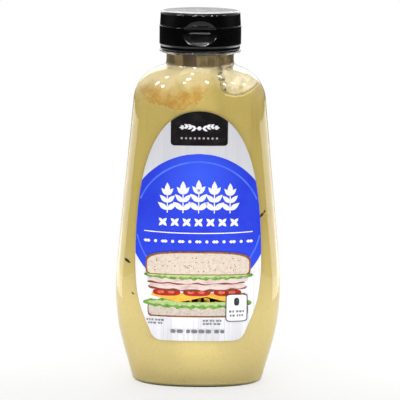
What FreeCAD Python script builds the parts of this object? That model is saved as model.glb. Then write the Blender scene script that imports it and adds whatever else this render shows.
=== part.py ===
"""A clear oval squeeze bottle of mustard with a black flip-top cap, at its real size in millimetres.

+Z is up, +X runs along the wide side and the labelled front faces -Y. The origin is the centre of
the footprint, on the surface that the bottle stands on.
"""

import FreeCAD, Part
import math
import os

# ---- bottle body: half-widths run along X, half-depths along Y ----
BASE_HALF_WIDTH = 31.6
BASE_HALF_DEPTH = 20.2
BULGE_HALF_WIDTH = 41.8
BULGE_HALF_DEPTH = 20.6
TOP_HALF_WIDTH = 31.0
TOP_HALF_DEPTH = 19.5
BULGE_HEIGHT = 36.5
SHOULDER_HEIGHT = 150.8
NECK_HEIGHT = 155.9
HEEL_RADIUS = 2.2
BULGE_RADIUS = 105.0
SHOULDER_RADIUS = 18.0
NECK_FILLET = 2.5
BODY_ROUNDNESS = 2.3
WALL = 0.8

# ---- pushed-up base inside the standing ring ----
FOOT_WIDTH = 4.5
PUSH_UP = 2.4
PUSH_UP_SLOPE = 4.0

# ---- neck, support ring and the finish under the cap ----
NECK_RADIUS = 16.3
RING_RADIUS = 19.6
RING_BOTTOM = 161.8
RING_THICKNESS = 1.4
RING_EDGE = 0.5
FINISH_RADIUS = 15.4
FINISH_WALL = 1.5
FINISH_HEIGHT = 10.0

# ---- mustard ----
FILL_LEVEL = 155.4
FILL_CLEARANCE = 0.3

# ---- cap base ----
RING_TO_CAP = 0.4
CAP_RADIUS = 19.75
BAND_RADIUS = 19.25
BAND_HEIGHT = 1.8
BAND_CHAMFER = 0.4
DECK_THICKNESS = 1.6
SHELL_WALL = 1.1
SKIRT_WALL = 1.1
FINISH_CLEARANCE = 1.1
SHELL_GAP_ROOF = 2.6
COLLAR_HEIGHT = 1.4
COLLAR_WALL = 1.0
COLLAR_CLEARANCE = 0.3
SPOUT_HEIGHT = 3.2
SPOUT_FOOT_RADIUS = 6.0
SPOUT_TIP_RADIUS = 3.7
ORIFICE_RADIUS = 2.5

# ---- flip lid ----
LID_HEIGHT = 7.1
LID_STEP = 0.2
LID_TAPER = 0.35
LID_EDGE = 1.9
LID_WALL = 1.3
LID_TOP = 1.3
PARTING_GAP = 0.25
PLUG_CLEARANCE = 0.3
PLUG_DEPTH = 1.5

# ---- thumb scoop across the parting line, and the lip that a thumb lifts ----
SCOOP_DEPTH = 1.9
SCOOP_HALF_HEIGHT = 6.2
SCOOP_BELOW_PARTING = 2.3
SCOOP_BACKING = 1.1
LIP_HALF_WIDTH = 3.7
LIP_REACH = 0.8
LIP_HEIGHT = 1.1
SLOT_HALF_WIDTH = 4.6
SLOT_HEIGHT = 2.4
SLOT_DEPTH = 0.6

# ---- hinge at the back of the cap ----
KNUCKLE_RADIUS = 0.7
KNUCKLE_CLEARANCE = 0.3
KNUCKLE_HALF_WIDTH = 2.2
HINGE_HALF_WIDTH = 5.2
HINGE_TAB = 3.0

# ---- labels ----
LABEL_THICKNESS = 0.2
LABEL_GAP = 0.1
LABEL_BOTTOM = 23.5
LABEL_TOP = 135.4
LABEL_WIDEST = 62.0
LABEL_HALF_WIDTH = 30.3
LABEL_FOOT_HALF_WIDTH = 21.5
LABEL_CORNER = 4.5
LABEL_FLARE = 1.5
LABEL_ARCH_REACH = 0.44
LABEL_ARCH_SPREAD = 0.86

SECTION_POLES = 28
RUN_STEPS = 3
ARC_STEPS = 4
SMALLEST_ARC = 0.2
LARGEST_SHARE = 0.98
OVERSHOOT = 1.0

RING_TOP = RING_BOTTOM + RING_THICKNESS
FINISH_TOP = RING_TOP + FINISH_HEIGHT
CAP_BOTTOM = RING_TOP + RING_TO_CAP
PARTING = FINISH_TOP + DECK_THICKNESS
LID_BOTTOM = PARTING + PARTING_GAP
LID_CROWN = PARTING + LID_HEIGHT
LID_RADIUS = CAP_RADIUS - LID_STEP
SKIRT_BORE = FINISH_RADIUS + FINISH_CLEARANCE
HINGE_FLAT = CAP_RADIUS - 1.15
HINGE_Y = HINGE_FLAT + KNUCKLE_CLEARANCE + KNUCKLE_RADIUS


def vec(x, y, z):
    return FreeCAD.Vector(x, y, z)


class Outline:
    """A side view of the body: straight runs through (height, half size) corners, joined by arcs."""

    def __init__(self, corners, radii):
        self.corners = corners
        self.radii = radii
        self.arcs = self.fit_arcs()

    def turn(self, i):
        """Unit vectors from corner i to its two neighbours, and half the angle between them."""
        (z0, r0), (z1, r1), (z2, r2) = self.corners[i - 1 : i + 2]
        before, after = math.hypot(z0 - z1, r0 - r1), math.hypot(z2 - z1, r2 - r1)
        u = ((z0 - z1) / before, (r0 - r1) / before)
        v = ((z2 - z1) / after, (r2 - r1) / after)
        return u, v, math.acos(u[0] * v[0] + u[1] * v[1]) / 2

    def fit_arcs(self):
        """Centre, radius, start and end of each arc, with neighbours shrunk to share a short run."""
        inner = range(1, len(self.corners) - 1)
        reach = {i: self.radii[i - 1] / math.tan(self.turn(i)[2]) for i in inner}
        for i in range(1, len(self.corners)):
            pair = [k for k in (i - 1, i) if k in reach]
            run = math.dist(self.corners[i - 1], self.corners[i])
            share = min(1.0, LARGEST_SHARE * run / sum(reach[k] for k in pair))
            for k in pair:
                reach[k] *= share
        arcs = []
        for i in inner:
            u, v, half = self.turn(i)
            z, r = self.corners[i]
            middle = (u[0] + v[0], u[1] + v[1])
            out = reach[i] / math.cos(half) / math.hypot(*middle)
            centre = (z + middle[0] * out, r + middle[1] * out)
            start = (z + u[0] * reach[i], r + u[1] * reach[i])
            end = (z + v[0] * reach[i], r + v[1] * reach[i])
            arcs.append((centre, reach[i] * math.tan(half), start, end))
        return arcs

    def inset(self, distance):
        """The parallel outline at that distance inside this one."""
        lines = []
        for (z0, r0), (z1, r1) in zip(self.corners, self.corners[1:]):
            length = math.hypot(z1 - z0, r1 - r0)
            normal = ((r1 - r0) / length, -(z1 - z0) / length)
            lines.append(((z0 + normal[0] * distance, r0 + normal[1] * distance), (z1 - z0, r1 - r0)))
        moved = [lines[0][0]]
        for (p, d), (q, e) in zip(lines, lines[1:]):
            across = d[0] * e[1] - d[1] * e[0]
            t = ((q[0] - p[0]) * e[1] - (q[1] - p[1]) * e[0]) / across
            moved.append((p[0] + d[0] * t, p[1] + d[1] * t))
        moved.append((self.corners[-1][0], lines[-1][0][1]))
        radii = []
        for i, (_, radius, _, _) in enumerate(self.arcs, start=1):
            (z0, r0), (z1, r1), (z2, r2) = self.corners[i - 1 : i + 2]
            outward = (z1 - z0) * (r2 - r1) - (r1 - r0) * (z2 - z1) < 0
            radii.append(max(SMALLEST_ARC, radius - distance if outward else radius + distance))
        return Outline(moved, radii)

    def at(self, z):
        """Half size at height z."""
        for centre, radius, start, end in self.arcs:
            if min(start[0], end[0]) <= z <= max(start[0], end[0]):
                side = 1.0 if (start[1] + end[1]) / 2 > centre[1] else -1.0
                return centre[1] + side * math.sqrt(max(0.0, radius**2 - (z - centre[0]) ** 2))
        for (z0, r0), (z1, r1) in zip(self.corners, self.corners[1:]):
            if z0 < z <= z1:
                return r0 + (r1 - r0) * (z - z0) / (z1 - z0)
        return self.corners[-1][1]

    def heights(self, top):
        """Heights of the body's rows of poles: evenly round each arc and along each run, up to top."""
        found = []
        for centre, _, start, end in self.arcs:
            if found:
                low = found[-1]
                found += [low + (start[0] - low) * k / RUN_STEPS for k in range(1, RUN_STEPS)]
            first = math.atan2(start[1] - centre[1], start[0] - centre[0])
            last = math.atan2(end[1] - centre[1], end[0] - centre[0])
            sweep = (last - first + math.pi) % (2 * math.pi) - math.pi
            reach = math.dist(start, centre)
            for k in range(ARC_STEPS + 1):
                found.append(centre[0] + reach * math.cos(first + sweep * k / ARC_STEPS))
        return [z for z in found if z < top - SMALLEST_ARC] + [top]


def roundness(z):
    """Superellipse power of the section at height z: squarer in the body, a circle at the neck."""
    share = (NECK_HEIGHT - z) / (NECK_HEIGHT - SHOULDER_HEIGHT + SHOULDER_RADIUS)
    share = max(0.0, min(1.0, share))
    return 2.0 + (BODY_ROUNDNESS - 2.0) * share * share * (3 - 2 * share)


def section(half_width, half_depth, power, z):
    """Poles of a closed superellipse at height z. The curve runs inside its poles by the factor."""
    step = 2 * math.pi / SECTION_POLES
    outside = 3.0 / (2.0 + math.cos(step))
    poles = []
    for k in range(SECTION_POLES):
        c, s = math.cos(k * step), math.sin(k * step)
        scale = outside * (abs(c) ** power + abs(s) ** power) ** (-1.0 / power)
        poles.append(vec(half_width * c * scale, half_depth * s * scale, z))
    return poles


def skin(rows):
    """Closed solid whose side is one smooth surface over the rows of poles, with flat ends."""
    degree = min(3, len(rows) - 1)
    spans = len(rows) - degree
    surface = Part.BSplineSurface()
    surface.buildFromPolesMultsKnots(
        [list(column) for column in zip(*rows)],
        [1] * (SECTION_POLES + 1),
        [degree + 1] + [1] * (spans - 1) + [degree + 1],
        [float(k) for k in range(SECTION_POLES + 1)],
        [float(k) for k in range(spans + 1)],
        True,
        False,
        3,
        degree,
    )
    side = surface.toShape()
    ends = [e for e in side.Edges if e.BoundBox.ZLength < 1e-6]
    caps = [Part.Face(Part.Wire([e])).reversed() for e in ends]
    return Part.Solid(Part.Shell([side] + caps))


def body_outlines():
    """Outlines of the body's outside, seen from the front and from the side."""
    levels = [0.0, 0.0, BULGE_HEIGHT, SHOULDER_HEIGHT, NECK_HEIGHT, RING_TOP]
    widths = [0.0, BASE_HALF_WIDTH, BULGE_HALF_WIDTH, TOP_HALF_WIDTH, NECK_RADIUS, NECK_RADIUS]
    depths = [0.0, BASE_HALF_DEPTH, BULGE_HALF_DEPTH, TOP_HALF_DEPTH, NECK_RADIUS, NECK_RADIUS]
    radii = [HEEL_RADIUS, BULGE_RADIUS, SHOULDER_RADIUS, NECK_FILLET]
    return Outline(list(zip(levels, widths)), radii), Outline(list(zip(levels, depths)), radii)


def body_solid(inset, top):
    """The body as a full solid up to height top, inset mm inside the outside surface."""
    wide, deep = (outline.inset(inset) for outline in body_outlines())
    return skin([section(wide.at(z), deep.at(z), roundness(z), z) for z in wide.heights(top)])


def push_up(grow):
    """The dished space under the base, grow mm larger on every side."""
    wide, deep = body_outlines()
    a = wide.corners[1][1] - FOOT_WIDTH + grow
    b = deep.corners[1][1] - FOOT_WIDTH + grow
    low = section(a + OVERSHOOT, b + OVERSHOOT, BODY_ROUNDNESS, -OVERSHOOT)
    high = section(a - PUSH_UP_SLOPE, b - PUSH_UP_SLOPE, BODY_ROUNDNESS, PUSH_UP + grow)
    return skin([low, high])


def disc(radius, z0, z1):
    return Part.makeCylinder(radius, z1 - z0, vec(0, 0, z0))


def ring(outer, inner, z0, z1):
    return disc(outer, z0, z1).cut(disc(inner, z0, z1))


def slab(x0, x1, y0, y1, z0, z1):
    return Part.makeBox(x1 - x0, y1 - y0, z1 - z0, vec(x0, y0, z0))


def rim_edges(shape, z, radius):
    """Circular edges of that radius at height z."""
    found = []
    for edge in shape.Edges:
        if not isinstance(edge.Curve, Part.Circle):
            continue
        if abs(edge.Curve.Center.z - z) < 1e-6 and abs(edge.Curve.Radius - radius) < 1e-6:
            found.append(edge)
    return found


def make_bottle():
    outside = body_solid(0.0, RING_TOP)
    support = disc(RING_RADIUS, RING_BOTTOM, RING_TOP)
    support = support.makeFillet(
        RING_EDGE,
        rim_edges(support, RING_BOTTOM, RING_RADIUS) + rim_edges(support, RING_TOP, RING_RADIUS),
    )
    finish = disc(FINISH_RADIUS, RING_BOTTOM, FINISH_TOP)
    bore = disc(FINISH_RADIUS - FINISH_WALL, RING_BOTTOM - OVERSHOOT, FINISH_TOP + OVERSHOOT)
    inside = body_solid(WALL, RING_BOTTOM).cut(push_up(WALL))
    return outside.cut(push_up(0.0)).fuse([support, finish]).cut(inside).cut(bore)


def make_mustard():
    room = body_solid(WALL + FILL_CLEARANCE, RING_BOTTOM)
    headspace = disc(2 * NECK_RADIUS, FILL_LEVEL, RING_TOP)
    return room.cut(headspace).cut(push_up(WALL + FILL_CLEARANCE))


def thumb_scoop():
    """A level cylinder whose cut across the round cap leaves an oval thumb hollow."""
    radius = (SCOOP_HALF_HEIGHT**2 + SCOOP_DEPTH**2) / (2 * SCOOP_DEPTH)
    y = -(CAP_RADIUS - SCOOP_DEPTH + radius)
    start = vec(-CAP_RADIUS, y, PARTING - SCOOP_BELOW_PARTING)
    return Part.makeCylinder(radius, 2 * CAP_RADIUS, start, vec(1, 0, 0))


def front_of(depth):
    """Everything at least that far forward of the axis."""
    return slab(-CAP_RADIUS, CAP_RADIUS, -2 * CAP_RADIUS, -depth, 0, 2 * LID_CROWN)


def hinge_knuckle(x0, x1, z0, z1):
    """A round knuckle on the hinge axis with the tab that ties it to the wall."""
    length = x1 - x0
    pin = Part.makeCylinder(KNUCKLE_RADIUS, length, vec(x0, HINGE_Y, PARTING), vec(1, 0, 0))
    tab = slab(x0, x1, HINGE_FLAT - SHELL_WALL / 2, HINGE_Y + KNUCKLE_RADIUS, z0, z1)
    return pin.fuse(tab)


def behind(depth, z0, z1):
    """Everything at least that far behind the axis, between two heights."""
    return slab(-CAP_RADIUS, CAP_RADIUS, depth, 2 * CAP_RADIUS, z0, z1)


def make_cap_base():
    band = disc(BAND_RADIUS, CAP_BOTTOM, CAP_BOTTOM + BAND_HEIGHT)
    chamfer = Part.makeCone(
        BAND_RADIUS, CAP_RADIUS, BAND_CHAMFER, vec(0, 0, CAP_BOTTOM + BAND_HEIGHT)
    )
    wall = disc(CAP_RADIUS, CAP_BOTTOM + BAND_HEIGHT + BAND_CHAMFER, PARTING)
    shell = band.fuse([chamfer, wall])
    shell = shell.cut(disc(SKIRT_BORE, CAP_BOTTOM, FINISH_TOP))
    gap = ring(
        BAND_RADIUS - SHELL_WALL, SKIRT_BORE + SKIRT_WALL, CAP_BOTTOM, PARTING - SHELL_GAP_ROOF
    )
    backing = front_of(CAP_RADIUS - 2 * SCOOP_DEPTH - SCOOP_BACKING)
    shell = shell.cut(gap.cut(backing))
    shell = shell.cut(thumb_scoop())
    slot_back = CAP_RADIUS - SCOOP_DEPTH - SLOT_DEPTH
    slot = slab(
        -SLOT_HALF_WIDTH, SLOT_HALF_WIDTH, -CAP_RADIUS, -slot_back, PARTING - SLOT_HEIGHT, PARTING
    )
    shell = shell.cut(slot)
    collar_radius = LID_RADIUS - LID_WALL - COLLAR_CLEARANCE
    collar = ring(collar_radius, collar_radius - COLLAR_WALL, PARTING, PARTING + COLLAR_HEIGHT)
    collar = collar.cut(front_of(lid_front_wall() - COLLAR_CLEARANCE))
    collar = collar.cut(behind(lid_back_wall() - COLLAR_CLEARANCE, PARTING, LID_CROWN))
    spout = Part.makeCone(SPOUT_FOOT_RADIUS, SPOUT_TIP_RADIUS, SPOUT_HEIGHT, vec(0, 0, PARTING))
    shell = shell.cut(behind(HINGE_FLAT, PARTING - HINGE_TAB, PARTING))
    knuckle = hinge_knuckle(-KNUCKLE_HALF_WIDTH, KNUCKLE_HALF_WIDTH, PARTING - HINGE_TAB, PARTING)
    orifice = disc(ORIFICE_RADIUS, FINISH_TOP - OVERSHOOT, PARTING + SPOUT_HEIGHT + OVERSHOOT)
    return shell.fuse([collar, spout, knuckle]).cut(orifice).removeSplitter()


def lid_front_wall():
    """How far forward the lid's hollow reaches: it stays behind the thumb scoop."""
    return CAP_RADIUS - SCOOP_DEPTH - SCOOP_BACKING


def lid_back_wall():
    """How far back the lid's hollow reaches: it stays ahead of the hinge flat."""
    return HINGE_FLAT - LID_WALL


def make_lid():
    height = LID_CROWN - LID_BOTTOM
    crown_radius = LID_RADIUS - LID_TAPER
    outside = Part.makeCone(LID_RADIUS, crown_radius, height, vec(0, 0, LID_BOTTOM))
    outside = outside.makeFillet(LID_EDGE, rim_edges(outside, LID_CROWN, crown_radius))
    hollow = Part.makeCone(
        LID_RADIUS - LID_WALL, crown_radius - LID_WALL, height - LID_TOP, vec(0, 0, LID_BOTTOM)
    )
    hollow = hollow.cut(front_of(lid_front_wall()))
    hollow = hollow.cut(behind(lid_back_wall(), LID_BOTTOM, LID_CROWN))
    shell = outside.cut(hollow).cut(thumb_scoop())
    shell = shell.cut(behind(HINGE_FLAT, LID_BOTTOM, PARTING + HINGE_TAB))
    lip_front = CAP_RADIUS - SCOOP_DEPTH + LIP_REACH
    lip = slab(
        -LIP_HALF_WIDTH,
        LIP_HALF_WIDTH,
        -lip_front,
        -lid_front_wall(),
        LID_BOTTOM,
        LID_BOTTOM + LIP_HEIGHT,
    )
    corners = [e for e in lip.Edges if all(abs(v.Y + lip_front) < 1e-6 for v in e.Vertexes)]
    lip = lip.makeFillet(LIP_HEIGHT / 3, corners)
    plug_tip = PARTING + SPOUT_HEIGHT - PLUG_DEPTH
    plug = disc(ORIFICE_RADIUS - PLUG_CLEARANCE, plug_tip, LID_CROWN - LID_TOP / 2)
    knuckle_starts = (-HINGE_HALF_WIDTH, KNUCKLE_HALF_WIDTH + KNUCKLE_CLEARANCE)
    knuckle_ends = (-KNUCKLE_HALF_WIDTH - KNUCKLE_CLEARANCE, HINGE_HALF_WIDTH)
    knuckles = [
        hinge_knuckle(x0, x1, PARTING, PARTING + HINGE_TAB)
        for x0, x1 in zip(knuckle_starts, knuckle_ends)
    ]
    return shell.fuse([lip, plug] + knuckles).removeSplitter()


def label_outline():
    """Front view of a label: a tall arch over straight flanks that draw in to a rounded foot."""
    foot, waist, top = LABEL_FOOT_HALF_WIDTH, LABEL_HALF_WIDTH, LABEL_TOP
    flank = Part.BezierCurve()
    flank.setPoles(
        [
            vec(waist, 0, LABEL_WIDEST),
            vec(waist, 0, LABEL_WIDEST + (top - LABEL_WIDEST) * LABEL_ARCH_REACH),
            vec(waist * LABEL_ARCH_SPREAD, 0, top),
            vec(0, 0, top),
        ]
    )
    skirt = Part.BezierCurve()
    skirt.setPoles(
        [
            vec(foot + LABEL_FLARE, 0, LABEL_BOTTOM + LABEL_CORNER),
            vec((foot + waist) / 2 + LABEL_FLARE / 2, 0, LABEL_BOTTOM + 3 * LABEL_CORNER),
            vec(waist, 0, (LABEL_BOTTOM + LABEL_WIDEST) / 2),
            vec(waist, 0, LABEL_WIDEST),
        ]
    )
    corner = Part.BezierCurve()
    corner.setPoles(
        [
            vec(foot - LABEL_CORNER, 0, LABEL_BOTTOM),
            vec(foot, 0, LABEL_BOTTOM),
            vec(foot + LABEL_FLARE, 0, LABEL_BOTTOM + LABEL_CORNER),
        ]
    )
    half = [corner.toShape(), skirt.toShape(), flank.toShape()]
    other = [edge.mirror(vec(0, 0, 0), vec(1, 0, 0)) for edge in half]
    flat = foot - LABEL_CORNER
    base = Part.makeLine(vec(-flat, 0, LABEL_BOTTOM), vec(flat, 0, LABEL_BOTTOM))
    return Part.Wire(Part.__sortEdges__(half + other + [base]))


def make_label(front):
    """A thin skin over the body inside the label's outline, on the front or the back."""
    depth = 2 * BULGE_HALF_DEPTH
    side = -1.0 if front else 1.0
    blank = Part.Face(label_outline()).extrude(vec(0, side * depth, 0))
    outer = body_solid(-LABEL_GAP - LABEL_THICKNESS, SHOULDER_HEIGHT)
    inner = body_solid(-LABEL_GAP, SHOULDER_HEIGHT)
    return outer.common(blank).cut(inner)


def main():
    os.makedirs("parts", exist_ok=True)
    nodes = {
        "bottle": make_bottle(),
        "mustard": make_mustard(),
        "cap_base": make_cap_base(),
        "flip_lid": make_lid(),
        "label_front": make_label(front=True),
        "label_back": make_label(front=False),
    }
    for name, shape in nodes.items():
        solid = shape.Solids[0] if len(shape.Solids) == 1 else shape
        solid.exportStep(f"parts/{name}.step")
        print(name, "solids", len(shape.Solids), "valid", shape.isValid(), "mm3", round(shape.Volume, 1))


main()
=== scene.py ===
"""Looks of the mustard squeeze bottle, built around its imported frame.

Sizes are in millimetres and are scaled by MM where a mesh is made. +Z is up and the front faces -Y.
"""

import math
import random

import bmesh
import bpy
import numpy as np
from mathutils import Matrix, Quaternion, Vector, noise

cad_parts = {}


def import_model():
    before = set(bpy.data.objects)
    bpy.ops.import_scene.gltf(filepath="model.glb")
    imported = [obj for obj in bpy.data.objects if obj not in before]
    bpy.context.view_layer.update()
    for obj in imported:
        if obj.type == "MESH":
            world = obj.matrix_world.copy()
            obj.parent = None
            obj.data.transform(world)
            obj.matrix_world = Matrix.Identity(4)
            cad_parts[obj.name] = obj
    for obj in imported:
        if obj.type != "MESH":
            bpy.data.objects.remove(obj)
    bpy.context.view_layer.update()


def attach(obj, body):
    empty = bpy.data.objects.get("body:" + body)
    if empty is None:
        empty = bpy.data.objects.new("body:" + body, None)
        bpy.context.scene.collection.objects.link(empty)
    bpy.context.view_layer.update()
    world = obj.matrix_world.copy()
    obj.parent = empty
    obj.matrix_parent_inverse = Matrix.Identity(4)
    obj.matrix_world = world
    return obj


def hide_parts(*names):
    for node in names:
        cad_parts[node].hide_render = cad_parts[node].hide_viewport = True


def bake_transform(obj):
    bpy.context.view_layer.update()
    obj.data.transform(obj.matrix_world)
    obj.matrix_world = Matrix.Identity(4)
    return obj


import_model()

MM = 0.001
FRONT, BACK = -1.0, 1.0

# ---- body outline, as (height, half size) corners with a radius at each inner corner ----
RING_BOTTOM, FINISH_TOP = 161.8, 173.2
WIDE = [(0.0, 0.0), (0.0, 31.6), (36.5, 41.8), (150.8, 31.0), (155.9, 16.3), (163.2, 16.3)]
DEEP = [(0.0, 0.0), (0.0, 20.2), (36.5, 20.6), (150.8, 19.5), (155.9, 16.3), (163.2, 16.3)]
CORNER_RADII = [2.2, 105.0, 18.0, 2.5]
BODY_POWER = 2.3
ROUND_FROM, ROUND_TO = 132.8, 155.9
WALL = 0.8
FOOT_WIDTH, PUSH_UP = 4.5, 2.4

# ---- cap ----
CAP_RADIUS, BAND_RADIUS, CAP_BOTTOM = 19.75, 19.25, 163.6
PARTING, LID_BOTTOM, LID_CROWN = 174.8, 175.05, 181.9
LID_RADIUS = 19.55
SCOOP_DEPTH, SCOOP_HALF_HEIGHT, SCOOP_CENTRE = 1.9, 6.2, 172.5
HINGE_FLAT, HINGE_Y, HINGE_LOW, HINGE_HIGH = 18.6, 19.6, 171.8, 177.8
LID_FRONT_WALL, LID_BACK_WALL = 16.75, 17.3

# ---- mustard: it reaches just into the wall, and smears the neck up to the film's top ----
MUSTARD_INSET, FILL_LEVEL, FILM_TOP = 0.45, 155.4, 161.6

# ---- air pocket in the mustard, on the front below the right shoulder ----
POCKET_X, POCKET_Z = 17.5, 142.8

# ---- label ----
LABEL_BOTTOM, LABEL_TOP, LABEL_WIDEST = 23.5, 135.4, 62.0
LABEL_HALF, LABEL_FOOT, LABEL_CORNER, LABEL_FLARE = 30.3, 21.5, 4.5, 1.5
LABEL_PROUD = 0.30
LAYER = 0.025
CELL_X, CELL_Z = 1.5, 3.0
TAB_BOTTOM, TAB_HALF, TAB_CORNER = 118.8, 13.6, 1.6
BLUE_CENTRE, BLUE_RADIUS = 81.0, 33.9


# ------------------------------------------------------------------ node materials
def srgb(r, g, b):
    """Linear colour with alpha from 0-255 display values."""
    out = []
    for c in (r, g, b):
        c /= 255.0
        out.append(c / 12.92 if c <= 0.04045 else ((c + 0.055) / 1.055) ** 2.4)
    return (*out, 1.0)


def into_scene(obj):
    bpy.context.scene.collection.objects.link(obj)


class Nodes:
    """A node tree with helpers that add to it."""

    def __init__(self, tree):
        self.tree = tree

    def add(self, kind, **settings):
        node = self.tree.nodes.new(kind)
        for key, value in settings.items():
            setattr(node, key, value)
        return node

    def link(self, a, b):
        self.tree.links.new(a, b)
        return a

    def math(self, operation, *values):
        node = self.add("ShaderNodeMath", operation=operation)
        for value, socket in zip(values, node.inputs):
            if isinstance(value, (int, float)):
                socket.default_value = value
            else:
                self.link(value, socket)
        return node.outputs[0]

    def times(self, a, b):
        return self.math("MULTIPLY", a, b)

    def times_plus(self, a, b, c):
        return self.math("MULTIPLY_ADD", a, b, c)

    def plus(self, a, b):
        return self.math("ADD", a, b)

    def minus(self, a, b):
        return self.math("SUBTRACT", a, b)

    def most(self, a, b):
        return self.math("MAXIMUM", a, b)

    def step(self, value, low, high, out_low=0.0, out_high=1.0):
        """Smooth ramp of value from low to high."""
        node = self.add("ShaderNodeMapRange", interpolation_type="SMOOTHSTEP")
        sockets = ("From Min", "From Max", "To Min", "To Max")
        for socket, v in zip(sockets, (low, high, out_low, out_high)):
            node.inputs[socket].default_value = v
        self.link(value, node.inputs["Value"])
        return node.outputs["Result"]

    def between(self, value, low, high, soft):
        rise = self.step(value, low - soft, low + soft)
        fall = self.step(value, high - soft, high + soft, 1.0, 0.0)
        return self.times(rise, fall)


class Mat(Nodes):
    """A Principled material with procedural textures in the object's own coordinates."""

    def __init__(self, name, **constants):
        self.mat = bpy.data.materials.new(name)
        self.mat.use_nodes = True
        super().__init__(self.mat.node_tree)
        self.shader = self.tree.nodes["Principled BSDF"]
        self.coords = self.add("ShaderNodeTexCoord").outputs["Object"]
        for socket, value in constants.items():
            self.shader.inputs[socket.replace("_", " ")].default_value = value

    def scaled(self, x, y, z):
        """Object coordinates stretched by a factor along each axis."""
        mapping = self.add("ShaderNodeMapping")
        mapping.inputs["Scale"].default_value = (x, y, z)
        self.link(self.coords, mapping.inputs["Vector"])
        return mapping.outputs["Vector"]

    def noise(self, scale, detail=3.0, rough=0.5, vector=None, distortion=0.0):
        node = self.add("ShaderNodeTexNoise")
        settings = {"Scale": scale, "Detail": detail, "Roughness": rough, "Distortion": distortion}
        for socket, value in settings.items():
            node.inputs[socket].default_value = value
        self.link(vector or self.coords, node.inputs["Vector"])
        return node.outputs["Fac"]

    def cells(self, scale):
        node = self.add("ShaderNodeTexVoronoi")
        node.inputs["Scale"].default_value = scale
        self.link(self.coords, node.inputs["Vector"])
        return node.outputs["Distance"]

    def axis(self, name):
        """One object coordinate in millimetres."""
        split = self.add("ShaderNodeSeparateXYZ")
        self.link(self.coords, split.inputs[0])
        return self.times(split.outputs[name], 1 / MM)

    def mix(self, factor, a, b):
        node = self.add("ShaderNodeMix", data_type="RGBA")
        self.link(factor, node.inputs["Factor"])
        for key, value in (("A", a), ("B", b)):
            socket = [s for s in node.inputs if s.name == key and s.type == "RGBA"][0]
            if isinstance(value, tuple):
                socket.default_value = value
            else:
                self.link(value, socket)
        return [s for s in node.outputs if s.type == "RGBA"][0]

    def colour(self, value):
        self.link(value, self.shader.inputs["Base Color"])

    def rough(self, value):
        self.link(value, self.shader.inputs["Roughness"])

    def bump(self, height, strength, distance):
        node = self.add("ShaderNodeBump")
        node.inputs["Strength"].default_value = strength
        node.inputs["Distance"].default_value = distance
        self.link(height, node.inputs["Height"])
        self.link(node.outputs["Normal"], self.shader.inputs["Normal"])


def clear_plastic():
    m = Mat("clear_plastic", Roughness=0.04, IOR=1.55, Transmission_Weight=1.0)
    m.shader.inputs["Base Color"].default_value = (0.985, 0.98, 0.955, 1)
    m.rough(m.step(m.noise(60.0, 4.0), 0.35, 0.75, 0.015, 0.06))
    m.bump(m.noise(45.0, 2.0), 0.12, 0.0012)
    path = m.add("ShaderNodeLightPath")
    clear = m.add("ShaderNodeBsdfTransparent")
    clear.inputs["Color"].default_value = (0.93, 0.92, 0.89, 1)
    mixer = m.add("ShaderNodeMixShader")
    out = m.tree.nodes["Material Output"]
    m.link(path.outputs["Is Shadow Ray"], mixer.inputs[0])
    m.link(m.shader.outputs[0], mixer.inputs[1])
    m.link(clear.outputs[0], mixer.inputs[2])
    m.link(mixer.outputs[0], out.inputs["Surface"])
    return m.mat


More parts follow.
